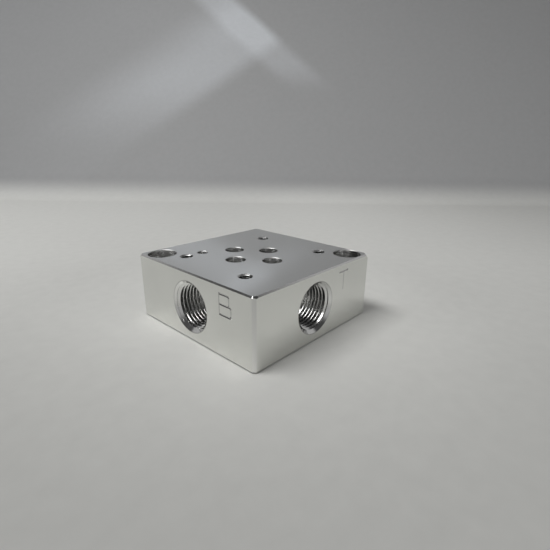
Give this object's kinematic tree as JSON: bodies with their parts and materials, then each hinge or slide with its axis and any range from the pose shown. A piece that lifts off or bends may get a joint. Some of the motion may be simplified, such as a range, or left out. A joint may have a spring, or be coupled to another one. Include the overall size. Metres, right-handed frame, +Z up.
{
  "type": "hydraulic valve subplate",
  "caption": "Square machined aluminium subplate: a valve mounting face on top, a tapped pipe port on each side joined to it by drillings, and counterbored mounting holes.",
  "frame": {"origin": "centre of the bottom face", "axes": "+Z up, out of the valve face; side port B opens on -X, T on -Y, A on +X and P on +Y"},
  "size_m": [0.0636, 0.0636, 0.0254],
  "materials": {
    "aluminium": "milled bare aluminium, satin"
  },
  "bodies": {
    "root": {"subplate": "aluminium"}
  },
  "joints": []
}
